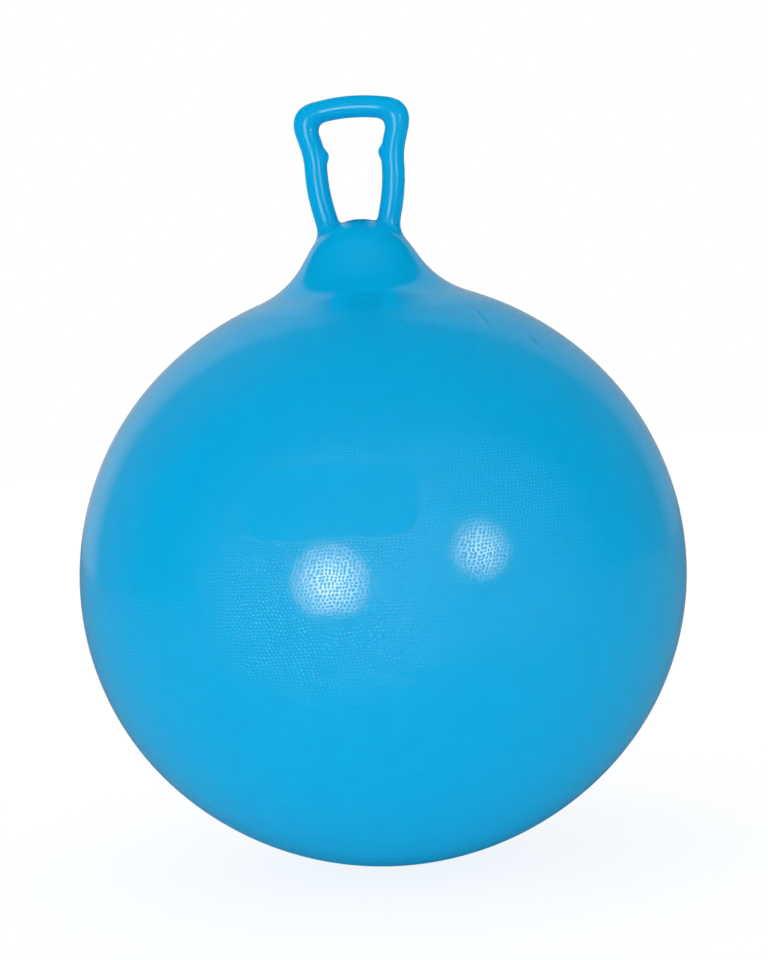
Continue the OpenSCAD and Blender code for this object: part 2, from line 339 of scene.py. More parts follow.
def heading(a, b):
    """Angle of the line from one point to another in the XZ plane."""
    return math.atan2(b[1] - a[1], b[0] - a[0])


def swing(a, b, c):
    """Angle that a path turns by at b, between a half turn to the right and one to the left."""
    angle = heading(b, c) - heading(a, b)
    return angle - 2 * math.pi * round(angle / (2 * math.pi))


def tangent_len(a, b, c, r):
    """Length from a corner to the end of its bend: its radius times the tangent of half the swing."""
    return r * math.tan(abs(swing(a, b, c)) / 2)


def bend(a, b, c, bend_r, from_r, to_r, swell=0.0, fill=0.0):
    """Rows of (x, z, outward x, outward z, bar radius, swell, fill) round the bend at b.

    The outward direction is to the right of the path. The bar's radius runs from one value to
    another. The swell, for the outside, is a sine squared. The fill, for the inside, is a low sine
    on three quarters of its height.
    """
    t = np.linspace(0, 1, BEND_POINTS)
    signed_r = math.copysign(bend_r, swing(a, b, c))
    angle = heading(a, b) + swing(a, b, c) * t
    out = np.stack([np.sin(angle), -np.cos(angle)], axis=-1)
    start = b - (b - a) / np.linalg.norm(b - a) * tangent_len(a, b, c, bend_r)
    place = start + signed_r * (out - out[0])
    r = from_r + (to_r - from_r) * t
    wave = np.sin(math.pi * t)
    return np.column_stack([place, out, r, swell * wave**2, fill * (3 + wave) / 4])


def straight_on(row, length, fill):
    """A row like one at the end of a bend, moved along the straight path, with a fill of its own."""
    along = np.array([-row[3], row[2]])
    return [[*(row[:2] + length * along), *row[2:5], 0, fill]]


flip = np.array([-1, 1])
foot_x = crown_r * math.cos(neck_angle) - foot_edge - leg_r
foot = np.array([foot_x, math.sqrt(crown_r**2 - foot_x**2) - crown_r])
ankle = np.array([foot_x, 0]) + ankle_rise
waist = ankle + waist_rise
shoulder = waist + shoulder_rise
peak = np.array([0, shoulder[1] + peak_rise])
leg_along = (ankle - foot) / np.linalg.norm(ankle - foot)
foot_end = foot - leg_along * foot[1] / leg_along[1]
foot_len = (crown_t + under_gap + foot_r * leg_along[0]) / leg_along[1]
foot_start = foot_end - leg_along * foot_len
anchor = foot_start - leg_along * anchor_bend_r * math.tan(math.acos(leg_along[0]) / 2)
# The ankle's bend takes up this share of the length that is free for it, and the arch all that the
# fill leaves
bow_share = 0.92
waist_len = tangent_len(ankle, waist, shoulder, waist_bend_r)
ankle_len = bow_share * min(np.linalg.norm(ankle - foot_end), waist_rise[1] - waist_len)
ankle_bend_r = ankle_len / math.tan(abs(swing(foot_end, ankle, waist)) / 2)
shoulder_len = tangent_len(waist, shoulder, peak, shoulder_bend_r)
arch_len = np.linalg.norm(peak - shoulder) - shoulder_len - fill_run
arch_r = arch_len / math.tan(abs(swing(shoulder, peak, shoulder * flip)) / 2)
leg_out = np.array([leg_along[1], -leg_along[0]])
# Beside the shoulder's bend the fill runs out in a curve, with this share of it left half way
half_way_share = 1 / 6
corner_bend = bend(waist, shoulder, peak, shoulder_bend_r, leg_r, bar_r, shoulder_swell, corner_fill)
right_half = np.concatenate([
    bend(anchor * flip, anchor, ankle, anchor_bend_r, bar_r, foot_r),
    [[*foot_end, *leg_out, leg_r, 0, 0]],
    bend(foot_end, ankle, waist, ankle_bend_r, leg_r, leg_r),
    bend(ankle, waist, shoulder, waist_bend_r, leg_r, leg_r),
    straight_on(corner_bend[0], -fill_run, 0),
    straight_on(corner_bend[0], -fill_run / 2, half_way_share * corner_fill),
    corner_bend,
    straight_on(corner_bend[-1], fill_run / 2, half_way_share * corner_fill),
    straight_on(corner_bend[-1], fill_run, 0),
    bend(shoulder, peak, shoulder * flip, arch_r, bar_r, bar_r)[:BEND_POINTS // 2],
])
left_half = right_half[::-1] * np.array([-1, 1, -1, 1, 1, 1, 1])
loop = np.concatenate([right_half, left_half])
print(f"loop {2 * shoulder[0]:.4f} m between its shoulder corners")

# %% Carry a ring of points along the loop
RINGS = 340
SIDES = 64
closed = np.concatenate([loop, loop[:1]])
run_len = np.concatenate([[0], np.cumsum(np.hypot(*np.diff(closed[:, :2], axis=0).T))])
even = np.linspace(0, run_len[-1], RINGS, endpoint=False)
place = np.stack([np.interp(even, run_len, column) for column in closed.T], axis=-1)
out = place[:, 2:4] / np.linalg.norm(place[:, 2:4], axis=1, keepdims=True)
round_angle = np.linspace(0, 2 * math.pi, SIDES, endpoint=False)


def on_loop(r):
    """Points round each place: r times the cosine along the outward direction and the sine along Y."""
    x = place[:, :1] + r * np.cos(round_angle) * out[:, :1]
    z = crown_z + place[:, 1:2] + r * np.cos(round_angle) * out[:, 1:]
    return np.stack([x, r * np.sin(round_angle) + 0 * x, z], axis=-1)


# A shoulder swells on its outside, and on its inside vinyl fills the corner of the opening
outer_share = (1 + np.cos(round_angle)) / 2
bar = place[:, 4:5] + place[:, 5:6] * outer_share + place[:, 6:] * (1 - outer_share) ** 2
# A finger stop is a round wave: half a cosine about a point on the inside of each waist
bare = on_loop(bar)
stop_point = np.array([waist[0] - leg_r, 0, crown_z + waist[1]])
away = np.linalg.norm(np.abs(bare) - stop_point, axis=-1) / (stop_w / 2)
rise = stop_h * (1 + np.cos(math.pi * np.minimum(1, away))) / 2
loop_points = on_loop(bar + rise).reshape(-1, 3)
loop_index = np.arange(RINGS * SIDES).reshape(RINGS, SIDES)
loop_index = np.concatenate([loop_index, loop_index[:1]])
handle = make_piece("handle", loop_points, [ring_faces(loop_index)],
                    "ball", "loop_handle")

# %% [markdown]
# ## Where the feet meet the crown
#
# The handle is put into the mould before the skin is made, and hot vinyl creeps a little way up
# each foot. That leaves a soft fillet, wider on the outside, where the leg leans out over the
# slope of the crown. Its edge isn't a circle, so for each angle round the leg the script first
# finds where the leg's wall dives into the crown, by halving a length over and over, and then
# draws a curve from the wall to the crown that is tangent to both.

# %% Rings of vinyl round the two feet
FILLET_SIDES = 96
FILLET_STEPS = 12
HALVINGS = 40
CROWN_ROWS = 40
fillet_out = 10 * MM
fillet_in = 4.5 * MM
search_top = 20 * MM
tuck = 2.5 * MM
sink = 0.2 * MM


def skin_height(flat):
    """Height of the skin's outside at a distance from the axis, near the crown."""
    near = outside[-CROWN_ROWS:][::-1]
    return np.interp(flat, near[:, 0], near[:, 1])


def on_leg(s, angle):
    """Point on the right leg's wall at a length from the crown's height, and at an angle round it."""
    r = leg_r + (foot_r - leg_r) * np.clip(-s / foot_len, 0, 1)
    flat_out = r * np.cos(angle)
    x = foot_end[0] + s * leg_along[0] + flat_out * leg_out[0]
    z = crown_z + foot_end[1] + s * leg_along[1] + flat_out * leg_out[1]
    return np.stack([x, r * np.sin(angle), z], axis=-1)


def above_skin(p):
    """How far a point lies above the skin's outside."""
    return p[..., 2] - skin_height(np.hypot(p[..., 0], p[..., 1]))


fillet_angle = np.linspace(0, 2 * math.pi, FILLET_SIDES, endpoint=False)
low_s = np.full(FILLET_SIDES, -foot_len)
high_s = np.full(FILLET_SIDES, search_top)
for halving in range(HALVINGS):
    middle_s = (low_s + high_s) / 2
    over = above_skin(on_leg(middle_s, fillet_angle)) > 0
    high_s = np.where(over, middle_s, high_s)
    low_s = np.where(over, low_s, middle_s)
reach = fillet_in + (fillet_out - fillet_in) * ((1 + np.cos(fillet_angle)) / 2) ** 2
wall = on_leg(high_s + reach, fillet_angle)
corner = on_leg(high_s, fillet_angle)
spread = np.stack([np.cos(fillet_angle), np.sin(fillet_angle)], axis=-1)
flat = corner[:, :2] + reach[:, None] * spread
crown_edge = np.column_stack([flat, skin_height(np.hypot(*flat.T))])
t = np.linspace(0, 1, FILLET_STEPS)[:, None, None]
curve = (1 - t) ** 2 * wall + 2 * t * (1 - t) * corner + t**2 * crown_edge
# Past its two ends the curve goes on a little, just under the leg's wall and under the skin, so
# that the hidden faces which close the ring don't bend the shading of the ones that show
wall_out = np.column_stack([spread[:, 0] * leg_out[0], spread[:, 1], spread[:, 0] * leg_out[1]])
under_wall = on_leg(high_s + reach + tuck, fillet_angle) - sink * wall_out
far = corner[:, :2] + (reach + tuck)[:, None] * spread
under_skin = np.column_stack([far, skin_height(np.hypot(*far.T)) - sink])
inside = corner - tuck * np.column_stack([spread, np.ones(FILLET_SIDES)])
fillet = np.concatenate([under_skin[None], curve[::-1], under_wall[None], inside[None]])
fillet_index = np.arange(fillet.shape[0] * FILLET_SIDES).reshape(fillet.shape[0], FILLET_SIDES)
fillet_faces = ring_faces(np.concatenate([fillet_index, fillet_index[:1]]))
right_fillet = fillet.reshape(-1, 3)
left_fillet = right_fillet * np.array([-1, 1, 1])
foot_fillets = make_piece("foot_fillets", np.concatenate([right_fillet, left_fillet]),
                          [fillet_faces, len(right_fillet) + fillet_faces[:, ::-1]],
                          "ball", None)

# %% [markdown]
# ## The valve
#
# A soft bush sits in the thickened pad on the back of the ball: its rim shows, and its flange and
# sleeve are inside. A hard white stopper with three sealing ribs is pushed into it. Both are
# turned about the valve's axis. The moulded edges are softened by cutting each corner of the
# outline with a short curve, which catches the light as a sharp corner never does.


# %% Turn an outline about the valve's axis
VALVE_SIDES = 96
EDGE_POINTS = 5
DISH_POINTS = 12
# A curve takes up less than half of each side that it cuts, so that two never meet
side_share = 0.45


def softened(corners, r, closed):
    """Outline with each corner replaced by a quadratic curve that reaches at most r away from it."""
    corners = np.array(corners, float)
    before = np.roll(corners, 1, axis=0) - corners
    after = np.roll(corners, -1, axis=0) - corners
    before_len = np.linalg.norm(before, axis=1, keepdims=True)
    after_len = np.linalg.norm(after, axis=1, keepdims=True)
    start = corners + before * np.minimum(r, side_share * before_len) / before_len
    end = corners + after * np.minimum(r, side_share * after_len) / after_len
    t = np.linspace(0, 1, EDGE_POINTS)[None, :, None]
    curves = (1 - t) ** 2 * start[:, None] + 2 * t * (1 - t) * corners[:, None] + t**2 * end[:, None]
    if closed:
        return curves.reshape(-1, 2)
    return np.concatenate([corners[:1], curves[1:-1].reshape(-1, 2), corners[-1:]])


def turned_on_valve(outline):
    """Grid of points: (radius, height) rows carried anticlockwise round the valve's axis."""
    angle = np.linspace(0, 2 * math.pi, VALVE_SIDES, endpoint=False)[None, :, None]
    around = np.cos(angle) * valve_right + np.sin(angle) * valve_up
    return valve_point + outline[:, :1, None] * around + outline[:, 1:, None] * valve_axis


flange_z = -pad_t - flange_t
bush_outline = softened([
    (passage_r, flange_z - sleeve_len),
    (sleeve_r, flange_z - sleeve_len),
    (sleeve_r, flange_z),
    (flange_r, flange_z),
    (flange_r, -pad_t),
    (rim_r, -pad_t),
    (rim_r, 0),
    (recess_r, 0),
    (recess_r, -head_t),
    (passage_r, -head_t),
], bush_edge_r, True)
bush_grid = turned_on_valve(bush_outline)
bush_index = np.arange(len(bush_outline) * VALVE_SIDES).reshape(-1, VALVE_SIDES)
bush = make_piece("bush", bush_grid.reshape(-1, 3),
                  [ring_faces(np.concatenate([bush_index, bush_index[:1]]))],
                  "ball", "valve_bush")

# %% The stopper, from its tip to the dish in its head
rib_r = passage_r - hole_play
core_r = 0.82 * rib_r
rib_pitch = stem_len / 4
rib_half = 0.55 * rib_pitch / 2
crest_half = 0.4 * rib_half
edge = 0.3 * head_t
dish_half = 0.6 * head_r
dish_depth = 0.25 * head_t
ribs = [(r, -head_t - i * rib_pitch + dz)
        for i in (3, 2, 1)
        for r, dz in ((core_r, -rib_half), (rib_r, -crest_half), (rib_r, crest_half), (core_r, rib_half))]
stem = softened([
    (0, -head_t - stem_len),
    (0.6 * core_r, -head_t - stem_len),
    *ribs,
    (core_r, -head_t),
    (head_r, -head_t),
    (head_r, -edge),
    (head_r - edge, 0),
    (dish_half, 0),
    (0, 0),
], stopper_edge_r, False)
dish = np.linspace(1, 0, DISH_POINTS)[1:, None] * np.array([dish_half, 0])
dish[:, 1] = -dish_depth * (1 - (dish[:, 0] / dish_half) ** 2)
stopper_outline = np.concatenate([stem[:-1], dish])
stopper_grid = turned_on_valve(stopper_outline[1:-1])
stopper_index = np.arange(len(stopper_grid) * VALVE_SIDES).reshape(-1, VALVE_SIDES)
stopper_ends = valve_point + stopper_outline[[0, -1], 1:] * valve_axis
stopper_points = np.concatenate([stopper_grid.reshape(-1, 3), stopper_ends])
stopper = make_piece("stopper", stopper_points,
                     [ring_faces(stopper_index),
                      fan_faces(stopper_index.size, stopper_index[0, ::-1]),
                      fan_faces(stopper_index.size + 1, stopper_index[-1])],
                     "stopper", "valve_stopper")

# %% [markdown]
# ## Materials
#
# Colours are written as sRGB hex values, the way a paint program shows them, and the shader
# wants linear light, so one function turns one into the other. A second adds a node, with its
# settings and with each input either set to a value or linked to another node.


# %% Colours and nodes
def linear(hex_colour):
    """Linear RGBA of an sRGB hex value: a power of 2.4 above a short straight part."""
    srgb = np.array([int(hex_colour[i:i + 2], 16) for i in (1, 3, 5)]) / 255
    rgb = np.where(srgb <= 0.04045, srgb / 12.92, ((srgb + 0.055) / 1.055) ** 2.4)
    return (*rgb.tolist(), 1.0)


def add(tree, kind, settings=None, inputs=None):
    """One node of a kind. A node given as an input is linked by its first output."""
    node = tree.nodes.new("ShaderNode" + kind)
    for name, value in (settings or {}).items():
        setattr(node, name, value)
    for key, value in (inputs or {}).items():
        if isinstance(value, bpy.types.Node):
            value = value.outputs[0]
        if isinstance(value, bpy.types.NodeSocket):
            tree.links.new(value, node.inputs[key])
        else:
            node.inputs[key].default_value = value
    return node


def new_material(name, *pieces):
    """An empty material on these pieces, and its node tree."""
    material = bpy.data.materials.new(name)
    material.use_nodes = True
    material.node_tree.nodes.clear()
    for piece in pieces:
        piece.data.materials.append(material)
    return material.node_tree


# %% [markdown]
# ### Pipped vinyl
#
# The skin is soft PVC, cast in a mould whose ball half was etched with thousands of tiny pits.
# Each pit leaves a pip: a round dome about 2.5 mm across and 0.3 mm high. Under a
# lamp the flats between the pips mirror it as a bright net, and the pips are dark dots in it.
# Further off, one flank of each pip still catches the lamp as a bright dot. As mesh, some 90,000
# pips would weigh more than the whole toy, and they are too low to change its outline, so they
# are bump.
#
# The pips lie in rings round the axis, like stitches in a knitted hat. A point's latitude gives
# its ring, the ring's length gives how many pips it holds, and the longitude gives the pip. Slow
# noise bends the rings, so that no two stretches are alike.

# %% Where a point lies among the pips
# In millimetres: from pip to pip, a pip's radius and height, and the ball's mean radius
PITCH = 3.65
PIP_R = 1.27
PIP_H = 0.3
MEAN_R = 296
# Rows of round things that nest lie closer than the things in a row, by this share
ROW_SHARE = math.sqrt(3) / 2
# The rings wander by at most so much, over stretches of such a length
wander_most = 4 * MM
wander_len = 26 * MM
ball_pvc = new_material("cast_pvc_pipped", skin)
object_place = add(ball_pvc, "TexCoord").outputs["Object"]
wander = add(ball_pvc, "TexNoise", {"noise_dimensions": "3D"},
             {"Vector": object_place, "Scale": 1 / wander_len, "Detail": 1.0})
wander_way = add(ball_pvc, "VectorMath", {"operation": "MULTIPLY_ADD"}, {
    0: wander.outputs["Color"],
    1: (2 * wander_most,) * 3,
    2: (-wander_most,) * 3,
})
wandered = add(ball_pvc, "VectorMath", {"operation": "ADD"}, {0: object_place, 1: wander_way})
centred = add(ball_pvc, "VectorMath", {"operation": "SUBTRACT"},
              {0: wandered, 1: (0, 0, widest_z)})
level = add(ball_pvc, "VectorMath", {"operation": "MULTIPLY"}, {0: centred, 1: (1, 1, 0)})
flat_r = add(ball_pvc, "VectorMath", {"operation": "LENGTH"}, {0: level}).outputs["Value"]
axes = add(ball_pvc, "SeparateXYZ", None, {0: centred})
latitude = add(ball_pvc, "Math", {"operation": "ARCTAN2"}, {0: axes.outputs["Z"], 1: flat_r})
longitude = add(ball_pvc, "Math", {"operation": "ARCTAN2"},
                {0: axes.outputs["Y"], 1: axes.outputs["X"]})
row_angle = ROW_SHARE * PITCH / MEAN_R
row = add(ball_pvc, "Math", {"operation": "DIVIDE"}, {0: latitude, 1: row_angle})
row_number = add(ball_pvc, "Math", {"operation": "FLOOR"}, {0: row})
row_latitude = add(ball_pvc, "Math", {"operation": "MULTIPLY_ADD"},
                   {0: row_number, 1: row_angle, 2: row_angle / 2})
row_width = add(ball_pvc, "Math", {"operation": "COSINE"}, {0: row_latitude})
row_pips = add(ball_pvc, "Math", {"operation": "MULTIPLY"},
               {0: row_width, 1: 2 * math.pi * MEAN_R / PITCH})
pip_count = add(ball_pvc, "Math", {"operation": "ROUND"}, {0: row_pips})
turns = add(ball_pvc, "Math", {"operation": "DIVIDE"}, {0: longitude, 1: 2 * math.pi})
half_steps = add(ball_pvc, "Math", {"operation": "MULTIPLY"}, {0: row_number, 1: 0.5})
column = add(ball_pvc, "Math", {"operation": "MULTIPLY_ADD"},
             {0: turns, 1: pip_count, 2: half_steps})
column_number = add(ball_pvc, "Math", {"operation": "FLOOR"}, {0: column})
pip_number = add(ball_pvc, "Math", {"operation": "FLOORED_MODULO"},
                 {0: column_number, 1: pip_count})

# %% The shape of a pip
pip_name = add(ball_pvc, "CombineXYZ", None, {0: pip_number, 1: row_number})
chance = add(ball_pvc, "TexWhiteNoise", {"noise_dimensions": "2D"}, {"Vector": pip_name})
# Each pip is nudged off the middle of its cell, by these shares of the pitch at most, and is a
# little smaller or larger than the mean
nudge_across = 0.14
nudge_up = 0.08
least_pip = 0.9
most_pip = 1.06
nudge = add(ball_pvc, "VectorMath", {"operation": "MULTIPLY_ADD"}, {
    0: chance.outputs["Color"],
    1: (2 * nudge_across, 2 * nudge_up, 0),
    2: (-nudge_across, -nudge_up, 0),
})
across = add(ball_pvc, "Math", {"operation": "FRACT"}, {0: column})
up = add(ball_pvc, "Math", {"operation": "FRACT"}, {0: row})
up_pitch = add(ball_pvc, "Math", {"operation": "MULTIPLY"}, {0: up, 1: ROW_SHARE})
in_cell = add(ball_pvc, "CombineXYZ", None, {0: across, 1: up_pitch})
from_middle = add(ball_pvc, "VectorMath", {"operation": "SUBTRACT"},
                  {0: in_cell, 1: (0.5, ROW_SHARE / 2, 0)})
from_pip = add(ball_pvc, "VectorMath", {"operation": "ADD"}, {0: from_middle, 1: nudge})
pip_distance = add(ball_pvc, "VectorMath", {"operation": "LENGTH"}, {0: from_pip}).outputs["Value"]
pip_size = add(ball_pvc, "MapRange", None, {
    "Value": chance.outputs["Value"],
    "To Min": least_pip * PIP_R / PITCH,
    "To Max": most_pip * PIP_R / PITCH,
})
pip_share = add(ball_pvc, "Math", {"operation": "DIVIDE"}, {0: pip_distance, 1: pip_size})
# A dome: one minus the square of that share, and nothing past its foot
share_square = add(ball_pvc, "Math", {"operation": "MULTIPLY"}, {0: pip_share, 1: pip_share})
pip = add(ball_pvc, "Math", {"operation": "SUBTRACT", "use_clamp": True}, {0: 1.0, 1: share_square})

# %% [markdown]
# The pips stop at a collar under the neck, round the valve, and at a plain oval on the front. Each
# of those is a distance that a step turns into a share of the pip's height. The oval is a mapping
# that shrinks it to a unit circle; squaring the three parts before their length is taken makes it
# fuller than an ellipse, like a bar of soap. Two short creases lie high on the right, where the
# skin was folded in its box: they are thin ellipses, mapped in the same way.


# %% Plain places and creases
# The collar's height above the widest circle, where the plain ring round the valve ends and the
# pips have their full height, and how deep a patch reaches into the ball
collar_h = 263 * MM
valve_plain_r = 21 * MM
valve_pipped_r = 24 * MM
patch_deep = 60 * MM
# The oval: two points, as azimuth and latitude in degrees, set its middle and direction. Then half its
# width and height in millimetres, and the distances where pips start and where they are full
oval_points = ((-16.5, 19.4), (17.4, 19.4))
oval_half = (77, 34)
oval_edge = (0.8, 1.2)


def skin_place(azimuth_deg, latitude_deg):
    """Point on the ball's skin at an azimuth from the front and a latitude, both in degrees."""
    a = math.radians(azimuth_deg)
    b = math.radians(latitude_deg)
    front = np.array([math.sin(a), -math.cos(a), 0])
    return (shift + (ball_r - shift) * math.cos(b)) * front + (
        np.array([0, 0, widest_z + (ball_r - shift) * math.sin(b)]))


def patch_place(start, end, half_w, half_h):
    """A point's place in a patch of skin: X runs from start to end, Z outwards, and the edge is at 1."""
    first = skin_place(*start)
    last = skin_place(*end)
    along = (last - first) / np.linalg.norm(last - first)
    across = np.cross((first + last) / 2 - np.array([0, 0, widest_z]), along)
    across = across / np.linalg.norm(across)
    turned = Matrix(np.column_stack([along, across, np.cross(along, across)]).tolist())
    return add(ball_pvc, "Mapping", {"vector_type": "TEXTURE"}, {
        "Vector": object_place,
        "Location": (first + last) / 2,
        "Rotation": turned.to_euler(),
        "Scale": (half_w * MM, half_h * MM, patch_deep),
    })


height = add(ball_pvc, "SeparateXYZ", None, {0: object_place}).outputs["Z"]
below_collar = add(ball_pvc, "Math", {"operation": "LESS_THAN"},
                   {0: height, 1: widest_z + collar_h})
oval_place = patch_place(*oval_points, *oval_half)
oval_square = add(ball_pvc, "VectorMath", {"operation": "MULTIPLY"}, {0: oval_place, 1: oval_place})
oval_reach = add(ball_pvc, "VectorMath", {"operation": "LENGTH"}, {0: oval_square}).outputs["Value"]
outside_oval = add(ball_pvc, "MapRange", {"interpolation_type": "SMOOTHSTEP"},
                   {"Value": oval_reach, "From Min": oval_edge[0], "From Max": oval_edge[1]})
valve_reach = add(ball_pvc, "VectorMath", {"operation": "DISTANCE"},
                  {0: object_place, 1: valve_point}).outputs["Value"]
outside_valve = add(ball_pvc, "MapRange", {"interpolation_type": "SMOOTHSTEP"},
                    {"Value": valve_reach, "From Min": valve_plain_r, "From Max": valve_pipped_r})
plain_ends = add(ball_pvc, "Math", {"operation": "MULTIPLY"}, {0: below_collar, 1: outside_valve})
pipped = add(ball_pvc, "Math", {"operation": "MULTIPLY"}, {0: plain_ends, 1: outside_oval})
pip_part = add(ball_pvc, "Math", {"operation": "MULTIPLY"}, {0: pip, 1: pipped})
relief = add(ball_pvc, "Math", {"operation": "MULTIPLY"}, {0: pip_part, 1: PIP_H})
# Each crease: its two ends, then half its width and its depth in millimetres
creases = (
    ((56.3, 64.5), (50.1, 54.6), 5.0, 1.0),
    ((64.7, 54.9), (61.9, 46.9), 3.2, 1.2),
)
for start, end, half_w, depth in creases:
    half_len = np.linalg.norm(skin_place(*start) - skin_place(*end)) / 2 / MM
    crease_place = patch_place(start, end, half_len, half_w)
    crease_reach = add(ball_pvc, "VectorMath", {"operation": "LENGTH"}, {0: crease_place})
    crease = add(ball_pvc, "MapRange", {"interpolation_type": "SMOOTHSTEP"}, {
        "Value": crease_reach.outputs["Value"],
        "To Min": depth,
        "To Max": 0.0,
    })
    relief = add(ball_pvc, "Math", {"operation": "SUBTRACT"}, {0: relief, 1: crease})

# %% The finished skin
# Clouds of this length vary the blue and its gloss a little, as in any cast skin. Most of the noise
# that makes them lies between these two values
cloud_len = 25 * MM
cloud_low = 0.3
cloud_high = 0.7
mottle = add(ball_pvc, "TexNoise", {"noise_dimensions": "3D"},
             {"Vector": object_place, "Scale": 1 / cloud_len, "Detail": 3.0})
blue = add(ball_pvc, "Mix", {"data_type": "RGBA"},
           {"Factor": mottle.outputs["Fac"], 6: linear("#039ED4"), 7: linear("#06A4DA")})
gloss = add(ball_pvc, "MapRange", None, {
    "Value": mottle.outputs["Fac"],
    "From Min": cloud_low,
    "From Max": cloud_high,
    "To Min": 0.10,
    "To Max": 0.13,
})
pip_normal = add(ball_pvc, "Bump", None, {"Strength": 1.0, "Distance": MM, "Height": relief})
ball_shader = add(ball_pvc, "BsdfPrincipled", None, {
    "Base Color": blue.outputs[2],
    "Roughness": gloss.outputs[0],
    "IOR": 1.5,
    "Normal": pip_normal,
})
add(ball_pvc, "OutputMaterial", None, {"Surface": ball_shader})
print("pips of", 2 * PIP_R, "mm at", PITCH, "mm, in", len(ball_pvc.nodes), "nodes")

# %% [markdown]
# ### Smooth vinyl
#
# The handle is solid PVC from a polished mould, so lamps draw thin bright lines along it. It is set
# to mirror less than plain vinyl, which keeps those lines faint, and slow, shallow waves in the
# surface break them a little. The fillets and the bush are the same blue and mirror more, as the
# neck does, and the stopper is a harder white vinyl that scatters light more widely.

# %% Handle, fillets, bush and stopper
# Each vinyl: its pieces, its darker and lighter tone, its least and most roughness, how strongly it
# mirrors (0.5 is plain vinyl), and the length and depth of its waves in millimetres
smooth_vinyls = (
    ("polished_pvc_blue", (handle,), "#039CD3", "#06A2D8", 0.12, 0.16, 0.16, 14, 0.03),
    ("satin_pvc_blue", (foot_fillets, bush), "#039CD3", "#06A2D8", 0.12, 0.16, 0.4, 14, 0.03),
    ("hard_pvc_white", (stopper,), "#EDEEEA", "#F3F4F0", 0.24, 0.30, 0.5, 6, 0.04),
)
for name, wearers, dark, light, least, most, mirror, wave_mm, depth_mm in smooth_vinyls:
    vinyl = new_material(name, *wearers)
    vinyl_place = add(vinyl, "TexCoord").outputs["Object"]
    cloud = add(vinyl, "TexNoise", {"noise_dimensions": "3D"},
                {"Vector": vinyl_place, "Scale": 1 / cloud_len, "Detail": 3.0})
    waves = add(vinyl, "TexNoise", {"noise_dimensions": "3D"},
                {"Vector": vinyl_place, "Scale": 1 / (wave_mm * MM), "Detail": 1.0})
    tone = add(vinyl, "Mix", {"data_type": "RGBA"},
               {"Factor": cloud.outputs["Fac"], 6: linear(dark), 7: linear(light)})
    sheen = add(vinyl, "MapRange", None, {
        "Value": cloud.outputs["Fac"],
        "From Min": cloud_low,
        "From Max": cloud_high,
        "To Min": least,
        "To Max": most,
    })
    ripple = add(vinyl, "Bump", None,
                 {"Strength": 1.0, "Distance": depth_mm * MM, "Height": waves.outputs["Fac"]})
    shader = add(vinyl, "BsdfPrincipled", None, {
        "Base Color": tone.outputs[2],
        "Roughness": sheen.outputs[0],
        "IOR": 1.5,
        "Specular IOR Level": mirror,
        "Normal": ripple,
    })
    add(vinyl, "OutputMaterial", None, {"Surface": shader})
    print(name, [piece.name for piece in wearers])

# %% [markdown]
# ## The camera
#
# The ball leans a little in the picture, so the camera is rolled. It stands just right of the
# ball's front and slightly above its middle, and a long lens keeps the outline close to a circle.
# The two pixel values say where the middle of the ball falls in the picture.

# %% Place the camera
IMAGE_W, IMAGE_H = 768, 960
# Where the middle of the ball's outline falls in the picture, in pixels from its top left
ball_px = (383.2, 573.0)
azimuth = math.radians(9)
elevation = math.radians(6.6)
lean = math.radians(4.06)
camera_distance = 2.55
focal_px = 2563
middle = np.array([0, 0, widest_z])
to_camera = np.array([math.sin(azimuth) * math.cos(elevation),
                      -math.cos(azimuth) * math.cos(elevation), math.sin(elevation)])
level_right = np.array([math.cos(azimuth), math.sin(azimuth), 0])
level_up = np.cross(to_camera, level_right)
leaned_right = level_right * math.cos(lean) - level_up * math.sin(lean)
leaned_up = level_up * math.cos(lean) + level_right * math.sin(lean)
back = (focal_px * to_camera + (ball_px[0] - IMAGE_W / 2) * leaned_right
        - (ball_px[1] - IMAGE_H / 2) * leaned_up)
back = back / np.linalg.norm(back)
right = leaned_right - (leaned_right @ back) * back
right = right / np.linalg.norm(right)
pose = np.eye(4)
pose[:3, :3] = np.column_stack([right, np.cross(back, right), back])
pose[:3, 3] = middle + camera_distance * to_camera
camera_data = bpy.data.cameras.new("camera")
camera_data.sensor_width = 36
camera_data.lens = focal_px * camera_data.sensor_width / IMAGE_H
camera = bpy.data.objects.new("camera", camera_data)
camera.matrix_world = pose.T.tolist()
bpy.context.scene.collection.objects.link(camera)
bpy.context.scene.camera = camera
print(f"camera {camera_data.lens:.1f} mm lens, {camera_distance} m away")

# %% [markdown]
# ## The studio
#
# The ball stands on a white sheet in an even, soft light, with a pale wall behind it and a dim room
# in front. Its middle mirrors the dim room, so the blue stays clear, and its edge mirrors the wall
# as a pale rim. High up the wall has a dark gap, which the front of the neck mirrors, so the neck
# is blue between two pale flanks. To the camera itself the wall and the sheet are plain white:
# Light Path tells the rays that the camera sends, and those that pass through something clear,
# from all others.

# %% The white sheet
SHEET_SIDES = 96
sheet_r = 6.0
# What the camera sees of the sheet's own glow. Its lit face adds the rest of the white
sheet_own = 0.84
sheet_mesh = bpy.data.meshes.new("floor")
sheet_angle = np.linspace(0, 2 * math.pi, SHEET_SIDES, endpoint=False)
sheet_ring = np.stack([np.cos(sheet_angle), np.sin(sheet_angle), 0 * sheet_angle], axis=-1) * sheet_r
sheet_mesh.from_pydata(sheet_ring.tolist(), [], [list(range(SHEET_SIDES))])
floor = bpy.data.objects.new("floor", sheet_mesh)
bpy.context.scene.collection.objects.link(floor)
